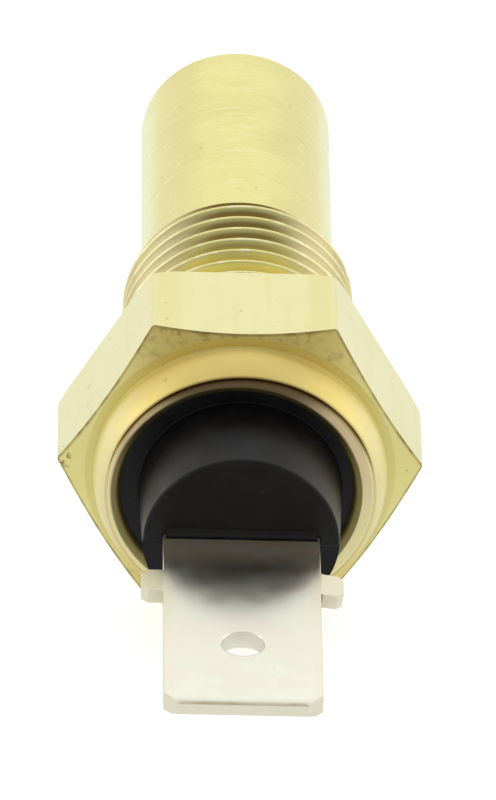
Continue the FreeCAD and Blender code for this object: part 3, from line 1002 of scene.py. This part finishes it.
# %% Brass of the hexagon
FLAT_BRASS = (0.86, 0.81, 0.44)
SIDE_FLAT_SHEEN = (0.81, 0.78, 0.43)
FRONT_BRASS = (0.68, 0.54, 0.17)
DARK_FRONT_BRASS = (0.46, 0.34, 0.11)
FLAT_FRONT_BRASS = (0.76, 0.61, 0.21)
FRONT_SIDE_HIGHLIGHT = (0.92, 0.84, 0.35)
EDGE_BURR = (0.30, 0.23, 0.07)
NICK = (-7.2, 0.1, Z_FRONT - 0.6)
NICK_SIZE = (0.6, 0.2)
BURR_INSET = (0.15, 0.03)
TOP_FLAT_END = (3.65, 3.85)
YELLOW_SPAN = (2.4, 2.9, 3.3, 3.7)
DRAWN_STREAKS = (1.6, 1.6, 0.06)
FRONT_SPAN = (Z_FRONT - 0.75, Z_FRONT - 0.7, Z_FRONT + 0.01, Z_FRONT + 0.03)


def drawn_flats(place, below):
    # The side flats get a painted sheen: a duller, greener copy of the brass.
    flats = mix(zone(place, Sideways=TOP_FLAT_END), FLAT_BRASS, SIDE_FLAT_SHEEN)
    flats = paint(flats, zone(place, Sideways=YELLOW_SPAN), PROBE_BRASS, share=0.5)
    streak = stretched_noise(place["Local"], DRAWN_STREAKS, 2.0)
    flats = paint(flats, between(streak, 0.5, 0.72), PROBE_BRASS, share=0.45)
    return paint(below, zone(place, Station=(Z_HEX - 0.02, Z_HEX + 0.02)), flats)


def chamfered_front(place, below, fine_blotch):
    """The colour with the front laid on, and the front's mask."""
    front = zone(place, Along=(0.7, 0.8), Station=FRONT_SPAN)
    grain = use(BLOTCHES, Local=place["Local"], Per_mm=4.0, Share=0.42)["Mask"]
    dark_grain = overlap(grain, between(fine_blotch, 0.0, 0.6, 0.35, 0.9))
    mottled = mix(dark_grain, lighter(FRONT_BRASS), DARK_FRONT_BRASS)
    mottled = paint(mottled, zone(place, Along=(0.9, 0.97)), FLAT_FRONT_BRASS)
    # Painted highlights towards the front's left and right.
    mottled = paint(mottled, zone(place, Sideways=(2.5, 6.0)), FRONT_SIDE_HIGHLIGHT)
    colour = paint(below, front, mottled)
    uneven = calc("MULTIPLY_ADD", fine_blotch, 0.5, 0.5)
    burr = overlap(front, zone(place, Inset=BURR_INSET), uneven)
    colour = paint(colour, burr, EDGE_BURR)
    measure = add(tree_of(grain), "VectorMath", {0: place["Local"], 1: NICK}, operation="DISTANCE")
    nick = between(measure.outputs["Value"], *NICK_SIZE)
    return paint(colour, overlap(nick, between(grain, 0.1, 0.5)), EDGE_BURR), front


print("the nick is %.2f mm from the corner" % abs(HEX_FLATS / math.sqrt(3) + NICK[0]))

# %% [markdown]
# ## Brass of the thread
#
# The crests are rubbed pale, and the thread's sides get a paler, flatter brass as painted light. On
# top the valleys get dark brown, grime and painted shade, which turns golden near the hexagon, and
# at the sides they get a pale yellow as painted light. The depth below the crests is worked out
# from the taper, so the masks follow the thread.

# %% Brass of the thread
SIDE_THREAD_LIGHT = (0.82, 0.73, 0.38)
WORN_CREST = (0.97, 0.94, 0.62)
GRIME_AND_VALLEY_SHADE = (0.34, 0.25, 0.09)
SIDE_VALLEY_LIGHT = (0.97, 0.87, 0.50)
VALLEY_GOLD = (0.84, 0.73, 0.26)
CREST_DEPTH = (0.09, 0.03)
VALLEY_DEPTH = (0.04, 0.25)
THREAD_SPAN = (Z_THREAD, Z_THREAD + 0.1, Z_HEX - 0.05, Z_HEX)
THREAD_SIDE = (1.2, 3.2)
GOLD_SPAN = (Z_HEX - 6.5, Z_HEX - 3.5)


def cut_thread(place, below, fine_blotch):
    """The colour with the thread laid on, and the mask of the valleys at its sides."""
    crest = calc("MULTIPLY_ADD", place["Station"], TAPER, SMALL_END - Z_THREAD * TAPER)
    depth = calc("SUBTRACT", crest, place["Radius"])
    in_thread = zone(place, Station=THREAD_SPAN)
    at_side = zone(place, Sideways=THREAD_SIDE)
    # Painted light: the thread's sides get a paler, flatter brass.
    colour = paint(below, overlap(in_thread, at_side), SIDE_THREAD_LIGHT)
    worn = overlap(in_thread, between(depth, *CREST_DEPTH), between(fine_blotch, 0.5, 0.9))
    colour = paint(colour, worn, WORN_CREST, share=0.6)
    valley = overlap(in_thread, between(depth, *VALLEY_DEPTH))
    # Valleys: dark brown on top, grime and painted shade, and pale yellow at the sides as painted light.
    valley_light_and_shade = mix(zone(place, Sideways=(0.8, 3.0)), GRIME_AND_VALLEY_SHADE, SIDE_VALLEY_LIGHT)
    valley_light_and_shade = paint(valley_light_and_shade, zone(place, Station=GOLD_SPAN), VALLEY_GOLD)
    return paint(colour, valley, valley_light_and_shade), overlap(valley, at_side)


print("thread from station %.2f to %.2f mm, %.3f mm deep" % (Z_THREAD, Z_HEX, THREAD_DEPTH))

# %% [markdown]
# ## Brass of the collar
#
# The rim was rolled over, which tans it. It gets painted highlights low down and at the sides, its lip
# runs from pale yellow below, painted light, to brown on top, painted shade, the inside of the lip is
# lightened against its shadow and darkened on top and deeper in as painted shade, and the crease
# where the metal folded gets a painted shadow that is nearly black on top.

# %% Brass of the collar
COLLAR_BRASS = (0.74, 0.60, 0.20)
COLLAR_HIGHLIGHT = (0.93, 0.84, 0.44)
LIP_BRASS = (0.98, 0.80, 0.46)
LOWER_LIP_LIGHT = (0.96, 0.88, 0.46)
LIP_TOP_SHADE = (0.26, 0.18, 0.09)
INNER_LIP_LIGHT = (0.98, 0.80, 0.26)
DEEP_LIP_SHADE = (0.13, 0.10, 0.03)
CREASE_SHADOW = (0.09, 0.045, 0.012)
SIDE_CREASE_SHADOW = (0.40, 0.28, 0.12)
LIP_OUTSIDE = CREASE_RADIUS - CREASE_WIDTH
CREASE_MIDDLE = CREASE_RADIUS - CREASE_WIDTH / 2


def rolled_collar(place, below, blotch):
    """The colour with the collar laid on, and the masks of the collar and its lip."""
    rolled = mix(blotch, COLLAR_BRASS, lighter(COLLAR_BRASS))
    # Painted highlights low down and at the sides of the collar.
    collar_highlight_mask = calc("MAXIMUM", zone(place, Sideways=(3.5, 6.0)),
                zone(place, Station=(Z_FRONT + 0.5, Z_FRONT + 0.2)))
    rolled = paint(rolled, collar_highlight_mask, COLLAR_HIGHLIGHT)
    on_collar = zone(place, Station=(Z_FRONT, Z_FRONT + 0.04))
    colour = paint(below, on_collar, rolled)
    lip = zone(place, Station=(Z_FACE, Z_FACE + 0.05), Radius=(LIP_OUTSIDE + 0.02, LIP_OUTSIDE))
    # The lip: painted light below and painted shade in brown on top.
    lip_light_and_shade = mix(zone(place, Upward=(-1.5, 2.0)), LOWER_LIP_LIGHT, LIP_BRASS)
    lip_light_and_shade = paint(lip_light_and_shade, zone(place, Upward=(3.6, 4.9)), LIP_TOP_SHADE)
    colour = paint(colour, lip, lip_light_and_shade)
    # The inside of the lip: lightened against its shadow, with painted shade on top and deeper in.
    inner = overlap(lip, zone(place, Station=(Z_RIM - 0.03, Z_RIM - 0.12)))
    deep_shade = calc("MAXIMUM", zone(place, Upward=(0.5, 3.0)),
                zone(place, Station=(Z_RIM - 0.14, Z_RIM - 0.3)))
    return paint(colour, inner, mix(deep_shade, INNER_LIP_LIGHT, DEEP_LIP_SHADE)), on_collar, lip


def shade_crease(place, below):
    # Painted shadow in the crease, nearly black on top and browner lower down its sides.
    off_crease = calc("ABSOLUTE", calc("SUBTRACT", place["Radius"], CREASE_MIDDLE))
    crease_shadow_mask = overlap(between(off_crease, 0.16, 0.05),
                     zone(place, Station=(Z_RIM - 0.2, Z_RIM - 0.12), Upward=(1.2, 3.2)))
    shade = mix(zone(place, Upward=(3.4, 4.8)), SIDE_CREASE_SHADOW, CREASE_SHADOW)
    return paint(below, crease_shadow_mask, shade)


print("crease at %.2f mm from the axis, lip inside %.2f mm" % (CREASE_MIDDLE, LIP_OUTSIDE))

# %% [markdown]
# ## The whole brass body
#
# One material covers the body, because it is one piece of metal. The zones are laid on from the probe
# forwards, then specks and faint scratches over all of them. Fine turning lines and pits go into the
# bump, and where the brass is tarnished it is less of a mirror.

# %% The whole brass body
LINES_PER_MM = 5.0
TARNISH = 0.4


def turning_lines(place):
    """Lines round the axis on what faces outwards, and rings on what faces along it."""
    local = place["Local"]
    outside = use(TURNING, Local=local, Across=place["Station"], Lines_per_mm=LINES_PER_MM)["Height"]
    rings = use(TURNING, Local=local, Across=place["Radius"], Lines_per_mm=LINES_PER_MM)["Height"]
    facing = zone(place, Along=(0.4, 0.8))
    return calc("ADD", overlap(rings, facing),
                overlap(outside, calc("SUBTRACT", 1.0, facing)))


def make_brass():
    material, tree, shader = new_material("yellow_brass")
    place = on_lathe(tree)
    local = place["Local"]
    blotch = use(BLOTCHES, Local=local, Per_mm=0.45, Share=0.5)["Mask"]
    fine_blotch = use(BLOTCHES, Local=local, Per_mm=1.6, Share=0.45)["Mask"]
    scratch = use(SCRATCHES, Local=local, Scale=0.22, Amount=0.2)["Mask"]
    speck = use(SPECKS, Local=local, Per_mm=1.3, Size=0.16)["Mask"]

    colour = probe_brass(place, blotch)
    colour = drawn_flats(place, colour)
    colour, front = chamfered_front(place, colour, fine_blotch)
    colour, side_valley = cut_thread(place, colour, fine_blotch)
    colour, on_collar, lip = rolled_collar(place, colour, blotch)
    colour = shade_crease(place, colour)
    colour = paint(colour, speck, GRIME_AND_VALLEY_SHADE, share=0.35)
    colour = paint(colour, scratch, GRIME_AND_VALLEY_SHADE, share=0.12)

    rough = calc("MULTIPLY_ADD", blotch, 0.05, 0.24)
    rough = calc("MULTIPLY_ADD", front, 0.20, rough)
    rough = calc("MULTIPLY_ADD", on_collar, 0.18, rough)
    height = calc("SUBTRACT", turning_lines(place), overlap(speck, 0.8))
    dress(shader, colour, rough, height, strength=0.22, depth=0.010)
    tarnished = calc("MAXIMUM", lip, side_valley)
    feed(shader.inputs["Metallic"], calc("MULTIPLY_ADD", tarnished, -TARNISH, 1.0))
    return material


yellow_brass = make_brass()
print("yellow brass:", len(yellow_brass.node_tree.nodes), "nodes")

# %% [markdown]
# ## Black moulding
#
# The insulator is a black glass-filled nylon: dark, half matt, with a faint orange-peel from the
# mould, a few specks of dust and hardly a scratch.

# %% Black moulding
NYLON = (0.0035, 0.003, 0.0035)
PALER_NYLON = (0.0055, 0.005, 0.0055)
DUST = (0.14, 0.12, 0.10)
SCRATCHED_NYLON = (0.04, 0.037, 0.037)


def make_black_moulding():
    material, tree, shader = new_material("black_moulding")
    local = on_lathe(tree)["Local"]
    cloud = use(BLOTCHES, Local=local, Per_mm=0.8, Share=0.5)["Mask"]
    dust = use(SPECKS, Local=local, Per_mm=2.6, Size=0.12)["Mask"]
    scratch = use(SCRATCHES, Local=local, Scale=1.3, Amount=0.3)["Mask"]
    colour = mix(cloud, NYLON, PALER_NYLON)
    colour = paint(colour, dust, DUST, share=0.25)
    colour = paint(colour, scratch, SCRATCHED_NYLON, share=0.1)
    rough = calc("MULTIPLY_ADD", cloud, 0.06, 0.32)
    peel = add(tree, "TexNoise", {"Vector": local, "Scale": 9.0, "Detail": 2.0}).outputs[0]
    height = calc("SUBTRACT", peel, overlap(scratch, 0.6))
    dress(shader, colour, rough, height, strength=0.3, depth=0.012)
    shader.inputs["Specular IOR Level"].default_value = 0.28
    return material


black_moulding = make_black_moulding()
print("black moulding:", len(black_moulding.node_tree.nodes), "nodes")

# %% [markdown]
# ## Tin plate
#
# The blade's plating is a soft satin white with clouds of greener and pinker white, brown and orange
# where heat from the moulding reached it, and beige edges. The coined lead-in at the end gets a band
# of painted shade, and the plating is dull on the sheared end and on the ears. Fine rubbing marks run
# along it.

# %% Tin plate
PALE_TIN = (0.89, 0.87, 0.75)
GREEN_TIN = (0.92, 0.93, 0.79)
PINK_TIN = (0.93, 0.84, 0.73)
BEIGE_TIN = (0.93, 0.85, 0.66)
DULL_TIN = (0.78, 0.74, 0.54)
WORN_TIN_AND_BEVEL_SHADE = (0.52, 0.46, 0.32)
HEAT_ORANGE = (0.82, 0.58, 0.30)
HEAT_BROWN = (0.95, 0.76, 0.48)
HEAT_GREY = (0.84, 0.82, 0.78)
RUBBING = (9.0, 3.0, 1.6)
HEATED_SPAN = (Z_BOSS + 2.6, Z_BOSS + 0.8)
FRINGE_SPAN = (Z_BOSS + 1.2, Z_BOSS + 1.9, Z_BOSS + 2.2, Z_BOSS + 3.2)
LEAD_IN_SHADE_HALF = BLADE_HALF - CORNER_CUT


def heated(place, below, stain, near_boss):
    heat = mix(between(stain, 0.2, 1.0, 0.0, 0.6), HEAT_BROWN, HEAT_GREY)
    colour = paint(below, near_boss, heat, share=0.85)
    fringe = overlap(zone(place, Station=FRINGE_SPAN), between(stain, 0.3, 0.9))
    return paint(colour, fringe, HEAT_ORANGE, share=0.5)


def shade_lead_in_and_dull_end(place, below, stain, sheared):
    """Painted shade along the coined lead-in, and a dull end and ears."""
    # Painted shade along the coined lead-in.
    lead_in_shade = zone(place, Along=(0.2, 0.45, 0.7, 0.9), Station=(Z_END - 0.5, Z_END - 0.3),
                  Sideways=(LEAD_IN_SHADE_HALF + 0.05, LEAD_IN_SHADE_HALF - 0.2))
    colour = paint(below, overlap(lead_in_shade, between(stain, 0.0, 1.0, 0.7, 1.0)), WORN_TIN_AND_BEVEL_SHADE)
    at_end = overlap(sheared, zone(place, Station=(Z_END - 0.9, Z_END - 0.6)))
    on_ear = zone(place, Sideways=(BLADE_HALF - 0.1, BLADE_HALF + 0.1))
    return paint(colour, calc("MAXIMUM", at_end, on_ear), DULL_TIN, share=0.6)


def make_tin_plate():
    material, tree, shader = new_material("tin_plate")
    place = on_lathe(tree)
    local = place["Local"]
    cloud = use(BLOTCHES, Local=local, Per_mm=0.7, Share=0.5)["Mask"]
    tint = use(BLOTCHES, Local=local, Per_mm=0.43, Share=0.47)["Mask"]
    stain = use(BLOTCHES, Local=local, Per_mm=1.1, Share=0.5)["Mask"]
    speck = use(SPECKS, Local=local, Per_mm=1.6, Size=0.15)["Mask"]
    near_boss = zone(place, Station=HEATED_SPAN)
    sheared = zone(place, Along=(0.35, 0.9))

    colour = mix(cloud, PALE_TIN, GREEN_TIN)
    colour = paint(colour, tint, PINK_TIN, share=0.6)
    colour = heated(place, colour, stain, near_boss)
    colour = paint(colour, zone(place, Sideways=(2.6, 3.0)), BEIGE_TIN, share=0.45)
    colour = paint(colour, speck, WORN_TIN_AND_BEVEL_SHADE, share=0.12)
    colour = shade_lead_in_and_dull_end(place, colour, stain, sheared)

    rough = calc("MULTIPLY_ADD", cloud, 0.04, 0.22)
    rough = calc("MULTIPLY_ADD", sheared, 0.2, rough)
    rubbed = stretched_noise(local, RUBBING, 3.0)
    dress(shader, colour, rough, rubbed, strength=0.18, depth=0.008)
    matt = calc("MAXIMUM", overlap(sheared, 0.8), overlap(near_boss, 0.12))
    feed(shader.inputs["Metallic"], calc("SUBTRACT", 1.0, matt))
    return material


tin_plate = make_tin_plate()
print("tin plate:", len(tin_plate.node_tree.nodes), "nodes")

# %% [markdown]
# ## Finishes inside the body
#
# The sealing ring, the sleeve, the thermistor, its two seats and the spring are shut inside, but a
# cut-away or an exploded view shows them. Their CAD solids keep their shape, and each gets a plain
# finish of two close colours, its own gloss and a little texture.

# %% Finishes inside the body
SEAT_BRASS = ((0.80, 0.68, 0.28), (0.86, 0.76, 0.34), 0.28, 5.0, 1.0)
INNER_FINISHES = {
    "sealing_ring": ((0.018, 0.016, 0.015), (0.035, 0.032, 0.030), 0.62, 6.0, 0.0),
    "insulating_sleeve": ((0.62, 0.56, 0.42), (0.70, 0.64, 0.50), 0.48, 3.0, 0.0),
    "thermistor_disc": ((0.11, 0.10, 0.10), (0.20, 0.18, 0.17), 0.55, 12.0, 0.0),
    "lower_spring_seat": SEAT_BRASS,
    "upper_spring_seat": SEAT_BRASS,
    "contact_spring": ((0.52, 0.52, 0.53), (0.62, 0.61, 0.60), 0.25, 4.0, 1.0),
}


def make_inner_finish(name, dark, light, rough, grain, metal):
    material, tree, shader = new_material(name + "_finish")
    local = on_lathe(tree)["Local"]
    cloud = use(BLOTCHES, Local=local, Per_mm=grain / 4, Share=0.5)["Mask"]
    speck = use(SPECKS, Local=local, Per_mm=grain, Size=0.2)["Mask"]
    colour = paint(mix(cloud, dark, light), speck, dark, share=0.4)
    texture = add(tree, "TexNoise", {"Vector": local, "Scale": grain, "Detail": 3.0}).outputs[0]
    dress(shader, colour, calc("MULTIPLY_ADD", cloud, 0.1, rough), texture, 0.3, 0.015)
    shader.inputs["Metallic"].default_value = metal
    return material


for node_name, finish in INNER_FINISHES.items():
    slots = frame["nodes"][node_name].data.materials
    slots.clear()
    slots.append(make_inner_finish(node_name, *finish))
print("inner finishes:", len(INNER_FINISHES))

# %% [markdown]
# ## Laying the pieces down
#
# The three pieces were made standing and in millimetres. One matrix brings each to its place on the
# floor, and applying it moves that place into the mesh, so every object ends at the origin. Then each
# piece takes its material, rides on the body and stands for its CAD node.

# %% Laying the pieces down
def lay_down(obj, material, node_name):
    work_on(obj)
    obj.matrix_world = LAID_DOWN
    bpy.ops.object.transform_apply(location=True, rotation=True, scale=True)
    obj.data.materials.clear()
    obj.data.materials.append(material)
    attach(obj, "root")
    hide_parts(node_name)


lay_down(brass_body, yellow_brass, "brass_body")
lay_down(insulator, black_moulding, "insulator_head")
lay_down(blade, tin_plate, "blade_terminal")
print("pieces laid down:", [p.name for p in (brass_body, insulator, blade)])

# %% [markdown]
# ## Floor and light
#
# The photograph was taken in a white tent, so the metal mirrors white nearly everywhere, with a
# greyer patch overhead and one on the camera's own side. A white world with those patches does most
# of the work. One soft light behind and one at each side give the edges their shine. The floor is
# plain white, and what the metal mirrors of it is a little darker in front, where the camera stood.

# %% Floor and light
FLOOR_SIZE = 6
TENT = (0.96, 0.96, 0.95)
OVERHEAD = (0.84, 0.84, 0.82)
CAMERA_SIDE = (0.40, 0.40, 0.38)
FLOOR_WHITE = (0.93, 0.93, 0.93)
FLOOR_PALER = (0.95, 0.95, 0.95)
FLOOR_GLOW = 0.55
MIRRORED_NEAR = 0.62
MIRRORED_FAR = 1.0


def make_floor():
    """A white floor. What the metal mirrors of it is darker in front, where the camera shades it."""
    deselect_all()
    bpy.ops.mesh.primitive_plane_add(size=FLOOR_SIZE)
    floor = bpy.context.object
    floor.name = "floor"
    material, tree, shader = new_material("white_floor")
    coords = add(tree, "TexCoord").outputs["Object"]
    grain = add(tree, "TexNoise", {"Vector": coords, "Scale": 60.0, "Detail": 2.0}).outputs[0]
    feed(shader.inputs["Base Color"], mix(grain, FLOOR_WHITE, FLOOR_PALER))
    shader.inputs["Roughness"].default_value = 0.9
    shader.inputs["Specular IOR Level"].default_value = 0.0
    shader.inputs["Emission Color"].default_value = (1, 1, 1, 1)
    shader.inputs["Emission Strength"].default_value = FLOOR_GLOW
    forward = add(tree, "SeparateXYZ", {0: coords}).outputs[1]
    level = between(forward, -0.03, 0.02, MIRRORED_NEAR, MIRRORED_FAR)
    mirrored = add(tree, "Emission", {"Strength": level})
    glossy = add(tree, "LightPath").outputs["Is Glossy Ray"]
    both = add(tree, "MixShader", {0: glossy, 1: shader.outputs[0], 2: mirrored.outputs[0]})
    feed(tree.nodes["Material Output"].inputs["Surface"], both.outputs[0])
    floor.data.materials.append(material)
    floor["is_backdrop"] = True


def make_tent():
    world = bpy.data.worlds.new("white_tent")
    bpy.context.scene.world = world
    world.use_nodes = True
    tree = world.node_tree
    toward = add(tree, "TexCoord").outputs["Generated"]
    side = add(tree, "VectorMath", {0: toward, 1: camera_back}, operation="DOT_PRODUCT").outputs["Value"]
    height = add(tree, "SeparateXYZ", {0: toward}).outputs[2]
    colour = mix(between(height, 0.55, 0.9), TENT, OVERHEAD)
    colour = paint(colour, between(side, 0.55, 0.95), CAMERA_SIDE)
    feed(tree.nodes["Background"].inputs["Color"], colour)
    tree.nodes["Background"].inputs["Strength"].default_value = 1.0


def make_soft_light(name, place, size, power):
    bpy.ops.object.light_add(type="AREA", location=place)
    light = bpy.context.object
    light.name = name
    light.data.size = size
    light.data.energy = power
    light.rotation_euler = (-Vector(place)).to_track_quat("-Z", "Y").to_euler()


make_floor()
make_tent()
make_soft_light("light_behind", (0.0, 0.7, 0.4), 0.6, 0.06)
make_soft_light("light_left", (-0.6, 0.0, 0.25), 0.4, 0.3)
make_soft_light("light_right", (0.6, 0.1, 0.25), 0.4, 0.3)
bpy.context.scene.view_settings.view_transform = "Standard"

# %% [markdown]
# ## Both boxes
#
# Both boxes, the CAD model's and the finished model's, are printed in millimetres.

# %% Both boxes
scene_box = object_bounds()
for name, box in (("CAD", cad_box), ("scene", scene_box)):
    print(name, "box in mm:", [[round(v / MM, 2) for v in corner] for corner in box])
